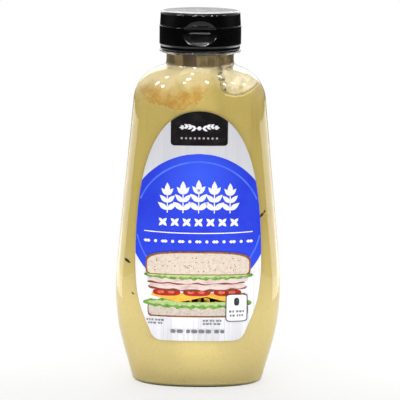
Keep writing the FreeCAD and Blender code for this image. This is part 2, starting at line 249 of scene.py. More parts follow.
def mustard_paste():
    m = Mat("mustard_paste", Roughness=0.45, IOR=1.4)
    z, x, y = m.axis("Z"), m.axis("X"), m.axis("Y")
    front = m.step(y, -6.0, -2.0, 1.0, 0.0)
    fine = m.noise(900.0, 3.0, 0.6)
    # painted light: the mustard paler towards the bottom, for the light thrown up by the bright floor
    drift = m.noise(28.0, 4.0, 0.55, m.scaled(1.0, 1.0, 0.35))
    wobble = m.times_plus(drift, 14.0, z)
    low = m.step(wobble, 40.0, 92.0, 1.0, 0.0)
    body = m.mix(low, srgb(196, 177, 101), srgb(222, 205, 137))
    body = m.mix(m.step(fine, 0.45, 0.8, 0.0, 0.2), body, srgb(176, 150, 72))
    streaks = m.noise(1.0, 3.0, 0.6, m.scaled(420.0, 420.0, 10.0))
    high = m.step(z, 60.0, 110.0)
    faint = m.times(m.step(streaks, 0.52, 0.72), m.times(high, 0.35))
    body = m.mix(faint, body, srgb(172, 152, 76))
    # the oily, browner mustard under the left shoulder, on the front
    blot = m.noise(110.0, 6.0, 0.62, distortion=1.2)
    ragged = m.times_plus(m.minus(blot, 0.5), 20.0, z)
    across = m.between(m.times_plus(m.minus(blot, 0.5), 16.0, x), -27.5, 2.5, 1.2)
    off = m.plus(x, 15.0)
    rising = m.most(m.times(off, 0.42), m.times(off, -0.28))
    height = m.minus(ragged, m.plus(rising, 135.4))
    inside = m.times(m.step(height, 0.0, 0.9), m.step(ragged, 144.5, 148.0, 1.0, 0.0))
    oil = m.times(m.times(across, inside), front)
    veins = m.step(m.math("ABSOLUTE", m.minus(m.noise(260.0, 4.0), 0.5)), 0.0, 0.035, 1.0, 0.0)
    rim = m.times(m.between(height, 0.2, 1.3, 0.4), across)
    oily = m.mix(m.step(m.noise(190.0, 3.0), 0.4, 0.62), srgb(196, 150, 60), srgb(206, 170, 84))
    oily = m.mix(m.times(m.most(veins, rim), 0.45), oily, srgb(158, 112, 40))
    body = m.mix(m.times(oil, 0.8), body, oily)
    # painted light: the mustard paler high on the shoulders, more so on the left, where they face up towards
    # the bright overhead light
    shoulder_sheen_noise = m.noise(75.0, 4.0, 0.55)
    pale = m.step(m.times_plus(shoulder_sheen_noise, 26.0, z), 155.5, 164.5)
    left = m.step(x, -20.0, 12.0, 0.95, 0.6)
    body = m.mix(m.times(pale, left), body, srgb(232, 216, 166))
    # the air pocket under the right shoulder, with painted light and shade: its floor painted paler grey, a
    # painted shade line along its rim broken up by bubbles, and a painted highlight along the lip below
    away = m.minus(x, POCKET_X)
    bowl = m.times_plus(m.times(away, away), 0.045, POCKET_Z)
    over = m.minus(m.times_plus(m.noise(420.0, 3.0), 1.6, z), m.plus(bowl, 0.8))
    slant = m.times_plus(z, 0.225, x)
    past = m.minus(m.times_plus(m.noise(330.0, 4.0), 3.0, slant), 45.2)
    within = m.math("MINIMUM", over, past)
    pocket = m.times(m.step(within, -0.2, 0.5), front)
    # painted light: the pocket's floor paler and greyer than the mustard around it
    grey = m.mix(m.step(m.noise(240.0, 3.0), 0.4, 0.65), srgb(196, 182, 146), srgb(226, 214, 182))
    body = m.mix(m.times(pocket, 0.85), body, grey)
    # painted shade: a dark line along the pocket's rim, broken up by bubbles
    bubbles = m.step(m.cells(520.0), 0.2, 0.42, 1.0, 0.3)
    seam_and_rim_shade = m.times(m.between(past, -0.8, 2.0, 0.4), m.step(over, -0.6, 0.2))
    seam_and_rim_shade = m.most(m.times(seam_and_rim_shade, bubbles), m.times(m.between(over, 0.0, 0.8, 0.3), 0.5))
    seam_and_rim_shade = m.times(seam_and_rim_shade, m.times(front, m.step(past, -1.2, -0.4)))
    body = m.mix(seam_and_rim_shade, body, srgb(84, 68, 40))
    # painted highlight: a bright line along the lip below the pocket
    lip_highlight = m.times(m.between(over, -1.0, -0.35, 0.2), m.times(front, m.step(past, -0.5, 0.5)))
    body = m.mix(m.times(lip_highlight, 0.8), body, srgb(246, 226, 150))
    # smears in the neck, darker and browner than the body, partly their own colour and partly painted shade,
    # and painted shade where the gap between them shows the dark inside
    smear = m.noise(210.0, 4.0, 0.65, m.scaled(1.0, 1.0, 0.45))
    neck = m.step(z, 155.2, 156.6)
    neck_colour_and_shade = m.mix(m.step(smear, 0.4, 0.62), srgb(106, 90, 54), srgb(146, 126, 84))
    froth = m.times(m.step(m.cells(900.0), 0.1, 0.35, 0.8, 0.0), m.step(x, 4.0, 9.0))
    neck_colour_and_shade = m.mix(froth, neck_colour_and_shade, srgb(206, 196, 168))
    # painted shade: a dark patch where the gap between the smears shows the dark inside of the neck
    gap_shade = m.times(m.between(x, -8.2, -1.6, 0.35), front)
    neck_colour_and_shade = m.mix(m.times(gap_shade, 0.8), neck_colour_and_shade, srgb(66, 50, 28))
    m.colour(m.mix(neck, body, neck_colour_and_shade))
    m.rough(m.step(fine, 0.3, 0.7, 0.34, 0.6))
    m.bump(m.noise(1400.0, 2.0), 0.3, 0.0001)
    return m.mat


def black_plastic(name, dull):
    m = Mat(name, IOR=1.53, Specular_IOR_Level=0.42)
    scuff = m.noise(420.0, 5.0, 0.7, m.scaled(1.0, 1.0, 0.25))
    m.colour(m.mix(m.step(scuff, 0.5, 0.8), (0.0022, 0.0022, 0.0027, 1), (0.006, 0.006, 0.007, 1)))
    m.rough(m.step(m.noise(160.0, 4.0), 0.3, 0.75, dull, dull + 0.07))
    m.bump(m.noise(700.0, 3.0), 0.05, 0.0001)
    return m.mat


def label_board():
    """White printed planks: upright grain with a few darker seams."""
    m = Mat("label_board", Roughness=0.38, IOR=1.45, Specular_IOR_Level=0.2)
    grain = m.noise(1.0, 4.0, 0.65, m.scaled(900.0, 60.0, 34.0))
    wide = m.noise(1.0, 3.0, 0.5, m.scaled(170.0, 20.0, 9.0))
    base = m.mix(m.step(grain, 0.36, 0.72), srgb(250, 250, 253), srgb(232, 233, 238))
    base = m.mix(m.step(wide, 0.42, 0.7, 0.0, 0.45), base, srgb(206, 207, 213))
    x = m.axis("X")
    seam_and_rim_shade = None
    for at in (-16.5, -6.5, 13.0, 27.0):
        line = m.between(x, at - 0.12, at + 0.12, 0.12)
        seam_and_rim_shade = line if seam_and_rim_shade is None else m.most(seam_and_rim_shade, line)
    base = m.mix(m.times(seam_and_rim_shade, 0.55), base, srgb(176, 176, 182))
    # painted shade: the board greyer towards the top, where less light comes up from the floor
    high = m.step(m.axis("Z"), 40.0, 120.0, 0.0, 0.75)
    m.colour(m.mix(high, base, srgb(200, 200, 206)))
    m.rough(m.step(grain, 0.3, 0.7, 0.32, 0.46))
    m.bump(m.noise(1600.0, 2.0), 0.12, 0.00005)
    return m.mat


def ink_blue():
    m = Mat("ink_blue", Roughness=0.36, IOR=1.45, Specular_IOR_Level=0.2)
    x, z = m.axis("X"), m.axis("Z")
    dz = m.minus(z, 104.0)
    far = m.math("SQRT", m.plus(m.times(x, x), m.times(dz, dz)))
    cloud = m.noise(70.0, 3.0)
    glow = m.step(m.times_plus(cloud, 9.0, far), 4.0, 30.0, 1.0, 0.0)
    base = m.mix(m.step(cloud, 0.3, 0.75), srgb(38, 58, 216), srgb(46, 72, 226))
    base = m.mix(m.times(glow, 0.8), base, srgb(64, 98, 246))
    low = m.step(m.times_plus(cloud, 8.0, z), 62.0, 80.0, 1.0, 0.0)
    m.colour(m.mix(m.times(low, 0.6), base, srgb(48, 84, 240)))
    m.rough(m.step(m.noise(300.0, 3.0), 0.3, 0.7, 0.3, 0.42))
    m.bump(m.noise(1600.0, 2.0), 0.12, 0.00005)
    return m.mat


def ink(name, main, other, scale, stretch=(1, 1, 1), rough=0.38):
    """Flat print in one colour, broken up by a second."""
    m = Mat(name, Roughness=rough, IOR=1.45, Specular_IOR_Level=0.2)
    spots = m.noise(1.0, 4.0, 0.6, m.scaled(*(scale * s for s in stretch)))
    m.colour(m.mix(m.step(spots, 0.45, 0.7), srgb(*main), srgb(*other)))
    m.rough(m.step(spots, 0.2, 0.8, rough - 0.05, rough + 0.07))
    return m.mat


def ink_bread(name, main, deep):
    m = Mat(name, Roughness=0.4, IOR=1.45, Specular_IOR_Level=0.2)
    crumb = m.noise(900.0, 4.0, 0.7)
    seeds = m.cells(420.0)
    base = m.mix(m.step(crumb, 0.4, 0.7), srgb(*main), srgb(*deep))
    base = m.mix(m.step(seeds, 0.06, 0.17, 0.75, 0.0), base, srgb(158, 126, 92))
    m.colour(base)
    m.rough(m.step(crumb, 0.2, 0.8, 0.34, 0.46))
    return m.mat


# the label's inks: main colour, the colour that breaks it up, and the grain's scale
INKS = {
    "ring": ((78, 112, 244), (92, 126, 248), 120.0),
    "black": ((19, 17, 18), (34, 30, 32), 260.0),
    "white": ((246, 246, 250), (232, 234, 244), 500.0),
    "grey": ((126, 126, 130), (150, 150, 156), 900.0),
    "dark": ((58, 58, 62), (82, 82, 86), 900.0),
    "silver": ((190, 188, 190), (150, 148, 152), 900.0),
    "crust": ((152, 98, 62), (110, 62, 36), 700.0),
    "rind": ((136, 74, 52), (104, 46, 30), 800.0),
    "tomato": ((184, 42, 34), (142, 22, 24), 500.0),
    "flesh": ((214, 92, 74), (236, 150, 120), 900.0),
    "cheese": ((240, 190, 76), (222, 164, 52), 400.0),
    "leaf": ((122, 170, 74), (74, 118, 46), 480.0),
    "leaf_pale": ((186, 208, 140), (142, 178, 92), 480.0),
}
MATS = {key: ink("ink_" + key, *look) for key, look in INKS.items()}
MATS.update(
    clear=clear_plastic(),
    paste=mustard_paste(),
    lid=black_plastic("black_plastic_lid", 0.07),
    skirt=black_plastic("black_plastic_skirt", 0.09),
    board=label_board(),
    blue=ink_blue(),
    bread=ink_bread("ink_bread", (226, 212, 196), (206, 188, 170)),
    crumb=ink_bread("ink_crumb", (214, 204, 192), (190, 176, 160)),
    meat=ink("ink_meat", (230, 208, 202), (206, 172, 168), 500.0, stretch=(0.3, 1, 1)),
    fleck=ink("fleck_brown", (60, 44, 22), (96, 74, 40), 900.0, rough=0.6),
)


# ------------------------------------------------------------------ meshes
def finish_piece(obj, material, body):
    obj.data.materials.clear()
    obj.data.materials.append(MATS[material])
    into_scene(obj)
    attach(obj, body)
    return obj


def mesh_object(name, verts, faces):
    mesh = bpy.data.meshes.new(name)
    mesh.from_pydata([tuple(c * MM for c in v) for v in verts], [], faces)
    mesh.validate()
    mesh.polygons.foreach_set("use_smooth", [True] * len(mesh.polygons))
    mesh.update()
    return bpy.data.objects.new(name, mesh)


def from_bmesh(name, bm):
    """A smooth object made from a bmesh, which is freed."""
    mesh = bpy.data.meshes.new(name)
    bm.to_mesh(mesh)
    bm.free()
    mesh.polygons.foreach_set("use_smooth", [True] * len(mesh.polygons))
    return bpy.data.objects.new(name, mesh)


def smooth_by_angle(obj, degrees):
    obj.data.set_sharp_from_angle(angle=math.radians(degrees))
    return obj


def closed_rings(rows, first_pole=None, last_pole=None, loop=False):
    """Vertices and quads over rows of points round the axis, closed by a pole or into a loop."""
    count = len(rows[0])
    verts = [p for row in rows for p in row]
    faces = []
    pairs = list(zip(range(len(rows) - 1), range(1, len(rows))))
    if loop:
        pairs.append((len(rows) - 1, 0))
    for a, b in pairs:
        for k in range(count):
            n = (k + 1) % count
            faces.append((a * count + k, a * count + n, b * count + n, b * count + k))
    for pole, row, flip in ((first_pole, 0, True), (last_pole, len(rows) - 1, False)):
        if pole is None:
            continue
        verts.append(pole)
        tip = len(verts) - 1
        for k in range(count):
            a, b = row * count + k, row * count + (k + 1) % count
            faces.append((tip, b, a) if flip else (tip, a, b))
    return verts, faces


# ------------------------------------------------------------------ body shape
def rounded(corners, radii, steps=14):
    """The outline's points, with each inner corner rounded. Neighbours share a short run."""
    pts = [np.array(c, float) for c in corners]
    inner = range(1, len(pts) - 1)

    def turn(i):
        u, v = pts[i - 1] - pts[i], pts[i + 1] - pts[i]
        u, v = u / np.linalg.norm(u), v / np.linalg.norm(v)
        return u, v, math.acos(float(u @ v)) / 2

    reach = {i: radii[i - 1] / math.tan(turn(i)[2]) for i in inner}
    for i in range(1, len(pts)):
        pair = [k for k in (i - 1, i) if k in reach]
        run = float(np.linalg.norm(pts[i] - pts[i - 1]))
        share = min(1.0, 0.98 * run / sum(reach[k] for k in pair))
        for k in pair:
            reach[k] *= share
    out = []
    for i in inner:
        u, v, half = turn(i)
        middle = (u + v) / np.linalg.norm(u + v)
        radius = reach[i] * math.tan(half)
        centre = pts[i] + middle * reach[i] / math.cos(half)
        a, b = pts[i] + u * reach[i] - centre, pts[i] + v * reach[i] - centre
        first, last = math.atan2(a[1], a[0]), math.atan2(b[1], b[0])
        sweep = (last - first + math.pi) % (2 * math.pi) - math.pi
        for k in range(steps + 1):
            t = first + sweep * k / steps
            out.append(centre + radius * np.array([math.cos(t), math.sin(t)]))
    out.append(pts[-1])
    return np.array(out)


WIDE_LINE, DEEP_LINE = rounded(WIDE, CORNER_RADII), rounded(DEEP, CORNER_RADII)


def half_sizes(z, inset=0.0):
    """Half-width and half-depth of the body at height z, that far inside its surface."""
    out = []
    for line in (WIDE_LINE, DEEP_LINE):
        here = float(np.interp(z, line[:, 0], line[:, 1]))
        above, below = (float(np.interp(z + d, line[:, 0], line[:, 1])) for d in (0.5, -0.5))
        slope = above - below
        out.append(here - inset * min(3.0, math.hypot(1.0, slope)))
    return out


def power_at(z):
    share = max(0.0, min(1.0, (ROUND_TO - z) / (ROUND_TO - ROUND_FROM)))
    return 2.0 + (BODY_POWER - 2.0) * share * share * (3 - 2 * share)


def body_heights(low, high):
    """Heights that follow both outlines' arcs and are never far apart."""
    marks = sorted({round(float(z), 3) for line in (WIDE_LINE, DEEP_LINE) for z in line[:, 0]})
    marks = [low] + [z for z in marks if low + 0.12 < z < high - 0.12] + [high]
    out = [marks[0]]
    for z in marks[1:]:
        gap = z - out[-1]
        if gap < 0.12:
            continue
        parts = max(1, math.ceil(gap / 1.6))
        start = out[-1]
        out += [start + gap * k / parts for k in range(1, parts + 1)]
    return out


def oval(a, b, power, z, count):
    """Points of a superellipse, spaced evenly enough for smooth shading."""
    row = []
    for k in range(count):
        t = 2 * math.pi * k / count
        c, s = math.cos(t), math.sin(t)
        scale = (abs(c) ** power + abs(s) ** power) ** (-1.0 / power)
        row.append((a * c * scale, b * s * scale, z))
    return row


def body_row(z, inset, count):
    a, b = half_sizes(z, inset)
    return oval(a, b, power_at(z), z, count)


def push_up_rows(grow, count, steps=8):
    """Rings from the middle of the pushed-up base out to the standing ring."""
    a, b = WIDE[1][1] - FOOT_WIDTH + grow, DEEP[1][1] - FOOT_WIDTH + grow
    rows = []
    for k in range(1, steps + 1):
        t = k / steps
        lift = PUSH_UP * (1 - t**6)
        rows.append(oval(a * t, b * t, BODY_POWER, lift + grow, count))
    return rows


def make_bottle():
    count = 192
    rows = push_up_rows(0.0, count)
    rows += [body_row(z, 0.0, count) for z in body_heights(0.0, RING_BOTTOM)]
    for r, z in ((18.9, 161.8), (19.3, 161.95), (19.6, 162.3), (19.6, 162.7), (19.3, 163.05), (18.9, 163.2)):
        rows.append(oval(r, r, 2.0, z, count))
    for r, z in ((15.4, 163.2), (15.4, 173.0), (15.2, 173.2), (14.1, 173.2), (13.9, 173.0), (13.9, 162.0)):
        rows.append(oval(r, r, 2.0, z, count))
    rows += reversed([body_row(z, WALL, count) for z in body_heights(2 * WALL, RING_BOTTOM)])
    rows += reversed(push_up_rows(WALL, count))
    verts, faces = closed_rings(rows, (0, 0, PUSH_UP), (0, 0, PUSH_UP + WALL))
    obj = smooth_by_angle(mesh_object("bottle_shell", verts, faces), 50)
    finish_piece(obj, "clear", "bottle")
    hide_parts("bottle")


def pocket_depth(x, y, z):
    """How deep the air pocket under the right shoulder eats into the mustard at a point."""
    ragged = noise.noise(Vector((x * 0.22, z * 0.22, 3.7))) * 2.2
    ragged += noise.noise(Vector((x * 0.7, z * 0.7, 9.1))) * 0.9
    floor = POCKET_Z + 0.045 * (x - POCKET_X) ** 2 + ragged * 0.25
    side = min(x + 0.225 * z - 43.7, 31.0 - x) + ragged * 0.4
    fade = ramp(-y, 1.0, 8.0) * ramp(z, 157.5, 155.5)
    return (3.2 + ragged * 0.5) * fade * ramp(min(z - floor, side), 0.0, 1.6)


def make_mustard():
    count = 288
    heights = body_heights(1.35, FILM_TOP)
    fine = []
    for a, b in zip(heights, heights[1:]):
        parts = 3 if a > 136.0 else 1
        fine += [a + (b - a) * k / parts for k in range(parts)]
    rows = [[(x, y, z + 0.5) for x, y, z in row] for row in push_up_rows(MUSTARD_INSET, count)]
    for z in fine + [FILM_TOP]:
        row = []
        for x, y, z in body_row(z, MUSTARD_INSET, count):
            r = math.hypot(x, y)
            lump = noise.noise(Vector((x * 0.35, y * 0.35, z * 0.35))) * 0.05
            keep = (r - pocket_depth(x, y, z) - lump) / r
            row.append((x * keep, y * keep, z))
        rows.append(row)
    # a thin film on the neck's wall, then the uneven top of the mustard inside it
    for r, z in ((15.0, 161.5), (14.6, 159.0), (14.2, 156.8)):
        rows.append(oval(r, r, 2.0, z, count))
    for share in (0.9, 0.75, 0.6, 0.45, 0.3, 0.15):
        row = []
        for x, y, z in oval(14.2 * share, 14.2 * share, 2.0, FILL_LEVEL, count):
            lump = noise.noise(Vector((x * 0.16, y * 0.16, 0.4)))
            row.append((x, y, z + 0.9 * lump))
        rows.append(row)
    verts, faces = closed_rings(rows, (0, 0, PUSH_UP + 0.95), (0, 0, FILL_LEVEL))
    obj = mesh_object("mustard_fill", verts, faces)
    finish_piece(obj, "paste", "bottle")
    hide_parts("mustard")


def make_flecks():
    """A few dark bits of seed husk, laid along the inside of the wall: x, z, size and turn."""
    spots = ((-34.2, 61.0, 1.6, 1.0), (30.2, 84.2, 1.5, -0.75))
    spots += ((31.8, 86.0, 0.8, -0.3), (-31.5, 45.5, 0.8, 0.6))
    bm = bmesh.new()
    for x, z, size, turn in spots:
        made = bmesh.ops.create_icosphere(bm, subdivisions=3, radius=size * MM)
        c, s = math.cos(turn), math.sin(turn)
        for v in made["verts"]:
            px, pz = v.co.x * 0.42, v.co.z
            bend = 0.5 * MM * noise.noise(v.co / MM * 1.3)
            vx, vz = x + (px * c - pz * s + bend) / MM, z + (px * s + pz * c) / MM
            a, b = half_sizes(vz, max(0.28, 0.42 + 0.25 * v.co.y / MM))
            p = power_at(vz)
            vy = -b * (1 - min(0.995, abs(vx) / a) ** p) ** (1 / p)
            v.co = Vector((vx, vy, vz)) * MM
    finish_piece(from_bmesh("husk_flecks", bm), "fleck", "bottle")


# ------------------------------------------------------------------ cap
def soft_max(a, b, blend):
    """The larger of two values, with a rounded crossing."""
    d = max(0.0, blend - abs(a - b)) / blend
    return max(a, b) + d * d * blend * 0.25


def ramp(value, low, high):
    t = max(0.0, min(1.0, (value - low) / (high - low)))
    return t * t * (3 - 2 * t)


def scooped(y, z):
    """Pushes the front of the wall back to the thumb scoop, with a rounded rim."""
    if y > -10.0:
        return y
    radius = (SCOOP_HALF_HEIGHT**2 + SCOOP_DEPTH**2) / (2 * SCOOP_DEPTH)
    dz = z - SCOOP_CENTRE
    if abs(dz) >= radius:
        return y
    face = -(CAP_RADIUS - SCOOP_DEPTH + radius) + math.sqrt(radius**2 - dz**2)
    return soft_max(y, face, 0.22)


def turned_rows(profile, count):
    turns = np.linspace(0, 2 * math.pi, count, False)
    return [[(r * math.sin(t), -r * math.cos(t), z) for t in turns] for r, z in profile]


def fine_profile(points, step):
    """The profile's points with long runs divided."""
    out = [points[0]]
    for (r0, z0), (r1, z1) in zip(points, points[1:]):
        parts = max(1, math.ceil(math.hypot(r1 - r0, z1 - z0) / step))
        out += [(r0 + (r1 - r0) * k / parts, z0 + (z1 - z0) * k / parts) for k in range(1, parts + 1)]
    return out


def arc(cr, cz, radius, start, end, steps=6):
    """Profile points round a centre, angles in degrees from +r towards +z."""
    out = []
    for k in range(steps + 1):
        t = math.radians(start + (end - start) * k / steps)
        out.append((cr + radius * math.cos(t), cz + radius * math.sin(t)))
    return out


def make_cap_base():
    count = 320
    edge = 0.2
    outer = arc(BAND_RADIUS - 0.3, CAP_BOTTOM + 0.3, 0.3, -90, 0)
    outer += [(BAND_RADIUS, CAP_BOTTOM + 1.7)]
    outer += arc(CAP_RADIUS - 0.3, CAP_BOTTOM + 2.45, 0.3, -50, 0, 4)
    outer += arc(CAP_RADIUS - edge, PARTING - edge, edge, 0, 90)
    outer = fine_profile(outer, 0.35)
    deck = fine_profile([(CAP_RADIUS - edge, PARTING), (6.3, PARTING)], 2.0)[1:]
    spout = [(6.0, PARTING + 0.1)] + arc(3.9, 177.6, 0.4, 30, 90, 4) + arc(2.9, 177.6, 0.4, 90, 180, 4)
    under = [(2.5, FINISH_TOP), (16.5, FINISH_TOP), (16.5, CAP_BOTTOM + 0.2), (16.7, CAP_BOTTOM)]
    rows = turned_rows(outer + deck + spout + under, count)
    limit = CAP_RADIUS - 3.4
    for row in rows:
        for k, (x, y, z) in enumerate(row):
            r = math.hypot(x, y)
            if r < limit:
                continue
            y = scooped(y, z)
            slot = ramp(4.9 - abs(x), 0.0, 0.5) * ramp(z, 172.1, 172.7) * ramp(-y, 12.0, 14.0)
            y += 0.6 * slot
            if z > HINGE_LOW:
                y = min(y, HINGE_FLAT)
            row[k] = (x, y, z)
    verts, faces = closed_rings(rows, loop=True)
    obj = smooth_by_angle(mesh_object("cap_skirt", verts, faces), 55)
    finish_piece(obj, "skirt", "bottle")
    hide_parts("cap_base")


def make_collar():
    """Two upright ribs that the lid snaps over, left and right of the spout."""
    verts, faces = [], []
    outer, inner, top, foot = 17.95, 16.95, 176.2, PARTING - 0.05
    ring = [(outer, foot), (outer, top - 0.25), (outer - 0.25, top)]
    ring += [(inner + 0.2, top), (inner, top - 0.2), (inner, foot)]
    for side in (1, -1):
        start = len(verts)
        angles = np.radians(np.linspace(26.0, 158.0, 67))
        for t in angles:
            verts += [(side * r * math.sin(t), -r * math.cos(t), z) for r, z in ring]
        n = len(ring)
        for i in range(len(angles) - 1):
            for k in range(n):
                a, b = start + i * n + k, start + i * n + (k + 1) % n
                faces.append((a, b, b + n, a + n) if side > 0 else (a, a + n, b + n, b))
        ends = [tuple(range(start, start + n)), tuple(range(len(verts) - n, len(verts)))]
        faces += [tuple(reversed(ends[0])), ends[1]] if side > 0 else [ends[0], tuple(reversed(ends[1]))]
    obj = smooth_by_angle(mesh_object("snap_ribs", verts, faces), 40)
    finish_piece(obj, "skirt", "bottle")


def make_lid():
    count = 320
    edge, crown = 0.14, 1.55
    top_radius = LID_RADIUS - 0.3
    outer = arc(LID_RADIUS - edge, LID_BOTTOM + edge, edge, -90, 0)
    outer += arc(top_radius - crown, LID_CROWN - crown - 0.05, crown, 0, 82, 12)
    outer = fine_profile(outer, 0.35)
    dome = [(top_radius - crown, LID_CROWN - 0.06), (14.0, LID_CROWN - 0.02)]
    dome += [(9.0, LID_CROWN), (4.0, LID_CROWN)]
    inside = [(18.15, LID_BOTTOM), (18.05, LID_BOTTOM + 0.15), (17.9, 180.3), (17.6, 180.6), (9.0, 180.6)]
    inside += [(2.6, 180.6), (2.2, 180.2), (2.2, 176.8), (1.95, 176.5)]
    rows = turned_rows(list(reversed(inside)) + outer + dome, count)
    for i, row in enumerate(rows):
        within = i < len(inside)
        for k, (x, y, z) in enumerate(row):
            if within:
                y = max(-LID_FRONT_WALL, min(LID_BACK_WALL, y))
            else:
                y = scooped(y, z)
                if z < HINGE_HIGH:
                    y = min(y, HINGE_FLAT)
            row[k] = (x, y, z)
    verts, faces = closed_rings(rows, (0, 0, 176.5), (0, 0, LID_CROWN))
    obj = smooth_by_angle(mesh_object("lid_shell", verts, faces), 55)
    finish_piece(obj, "lid", "lid")
    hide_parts("flip_lid")


def rounded_box(name, low, high, radius):
    bm = bmesh.new()
    bmesh.ops.create_cube(bm, size=1.0)
    size = [h - l for l, h in zip(low, high)]
    middle = [(h + l) / 2 for l, h in zip(low, high)]
    for v in bm.verts:
        v.co = Vector([(v.co[i] * size[i] + middle[i]) * MM for i in range(3)])
    offset = radius * MM
    bmesh.ops.bevel(bm, geom=bm.edges[:], offset=offset, segments=3, profile=0.5, affect="EDGES")
    return from_bmesh(name, bm)


def make_lip():
    """The small ledge in the scoop that a thumb lifts: a shallow crescent with rounded ends."""
    obj = rounded_box("thumb_lip", (-3.9, -18.75, LID_BOTTOM), (3.9, -16.8, LID_BOTTOM + 1.15), 0.32)
    for v in obj.data.vertices:
        v.co.y += 0.28 * MM * (v.co.x / (3.9 * MM)) ** 2
    finish_piece(obj, "lid", "lid")


def make_hinge_film():
    """The thin moulded strip that bends between the skirt and the lid."""
    path = [(HINGE_FLAT - 0.5, 172.3), (HINGE_FLAT + 0.28, 172.7), (HINGE_FLAT + 0.42, 173.6)]
    path += [(HINGE_Y + 0.05, 174.35), (HINGE_Y + 0.35, 174.8), (HINGE_Y + 0.05, 175.3)]
    path += [(HINGE_FLAT + 0.42, 176.0), (HINGE_FLAT + 0.28, 176.9), (HINGE_FLAT - 0.5, 177.3)]
    dense = [path[0]]
    for i in range(len(path) - 1):
        p0, p1 = np.array(path[max(0, i - 1)]), np.array(path[i])
        p2, p3 = np.array(path[i + 1]), np.array(path[min(len(path) - 1, i + 2)])
        for k in range(1, 6):
            t = k / 5
            square, cube = 2 * p0 - 5 * p1 + 4 * p2 - p3, 3 * p1 - p0 - 3 * p2 + p3
            dense.append(tuple(0.5 * (2 * p1 + (p2 - p0) * t + square * t**2 + cube * t**3)))
    verts, faces = [], []
    thick, half, across = 0.34, 5.2, 24
    lines = []
    for i, (y, z) in enumerate(dense):
        y0, z0 = dense[max(0, i - 1)]
        y1, z1 = dense[min(len(dense) - 1, i + 1)]
        length = math.hypot(y1 - y0, z1 - z0)
        ny, nz = (z1 - z0) / length, -(y1 - y0) / length
        thin = thick * (0.6 + 0.4 * ramp(abs(z - PARTING), 0.2, 1.2))
        lines.append([(y + ny * thin / 2, z + nz * thin / 2), (y - ny * thin / 2, z - nz * thin / 2)])
    xs = [half * (2 * k / across - 1) for k in range(across + 1)]
    loop = [(x, 0) for x in xs] + [(x, 1) for x in reversed(xs)]
    for pair in lines:
        verts += [(x, pair[side][0], pair[side][1]) for x, side in loop]
    n = len(loop)
    for i in range(len(lines) - 1):
        for k in range(n):
            a, b = i * n + k, i * n + (k + 1) % n
            faces.append((a, a + n, b + n, b))
    faces += [tuple(range(n)), tuple(reversed(range(len(verts) - n, len(verts))))]
    obj = smooth_by_angle(mesh_object("hinge_film", verts, faces), 40)
    obj.data.materials.append(MATS["skirt"])
    into_scene(obj)
    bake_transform(obj)
    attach(obj, "bottle")


# ------------------------------------------------------------------ label outline and print
def bezier(points, steps):
    out = []
    n = len(points) - 1
    for k in range(steps + 1):
        t = k / steps
        shares = [math.comb(n, i) * (1 - t) ** (n - i) * t**i for i in range(n + 1)]
        out.append(tuple(sum(share * p[c] for share, p in zip(shares, points)) for c in (0, 1)))
    return out


def label_side():
    """Right side of the label's outline, from the middle of its foot up to its top, as (x, z)."""
    foot, waist = LABEL_FOOT, LABEL_HALF
    corner = [(foot - LABEL_CORNER, LABEL_BOTTOM), (foot, LABEL_BOTTOM)]
    corner.append((foot + LABEL_FLARE, LABEL_BOTTOM + LABEL_CORNER))
    skirt = [
        corner[2],
        ((foot + waist) / 2 + LABEL_FLARE / 2, LABEL_BOTTOM + 3 * LABEL_CORNER),
        (waist, (LABEL_BOTTOM + LABEL_WIDEST) / 2),
        (waist, LABEL_WIDEST),
    ]
    flank = [
        skirt[3],
        (waist, LABEL_WIDEST + (LABEL_TOP - LABEL_WIDEST) * 0.44),
        (waist * 0.86, LABEL_TOP),
        (0.0, LABEL_TOP),
    ]
    return bezier(corner, 8) + bezier(skirt, 20)[1:] + bezier(flank, 44)[1:]


LABEL_SIDE = label_side()
SIDE_Z = np.array([p[1] for p in LABEL_SIDE])
SIDE_X = np.array([p[0] for p in LABEL_SIDE])


def label_half(z):
    return float(np.interp(z, SIDE_Z, SIDE_X))


def skin_y(x, z, proud, side):
    """Depth of the body's surface at (x, z), that far proud of it, on the front or the back."""
    a, b = half_sizes(z, -proud)
    p = power_at(z)
    return side * b * max(0.0, 1 - (abs(x) / a) ** p) ** (1 / p)


def skin_normal(x, z, side):
    step = 0.2
    dx = (skin_y(x + step, z, 0, side) - skin_y(x - step, z, 0, side)) / (2 * step)
    dz = (skin_y(x, z + step, 0, side) - skin_y(x, z - step, 0, side)) / (2 * step)
    return Vector((-dx * side, side, -dz * side)).normalized()


def cut_cells(bm):
    """Cuts the flat shapes along a grid so that they can follow the body's curve."""
    xs, zs = [v.co.x for v in bm.verts], [v.co.z for v in bm.verts]
    for axis, cell, values in ((0, CELL_X, xs), (2, CELL_Z, zs)):
        first, last = math.floor(min(values) / cell) + 1, math.ceil(max(values) / cell)
        for k in range(first, last):
            at, normal = Vector((0, 0, 0)), Vector((0, 0, 0))
            at[axis], normal[axis] = k * cell, 1.0
            geom = bm.verts[:] + bm.edges[:] + bm.faces[:]
            bmesh.ops.bisect_plane(bm, geom=geom, dist=1e-5, plane_co=at, plane_no=normal)


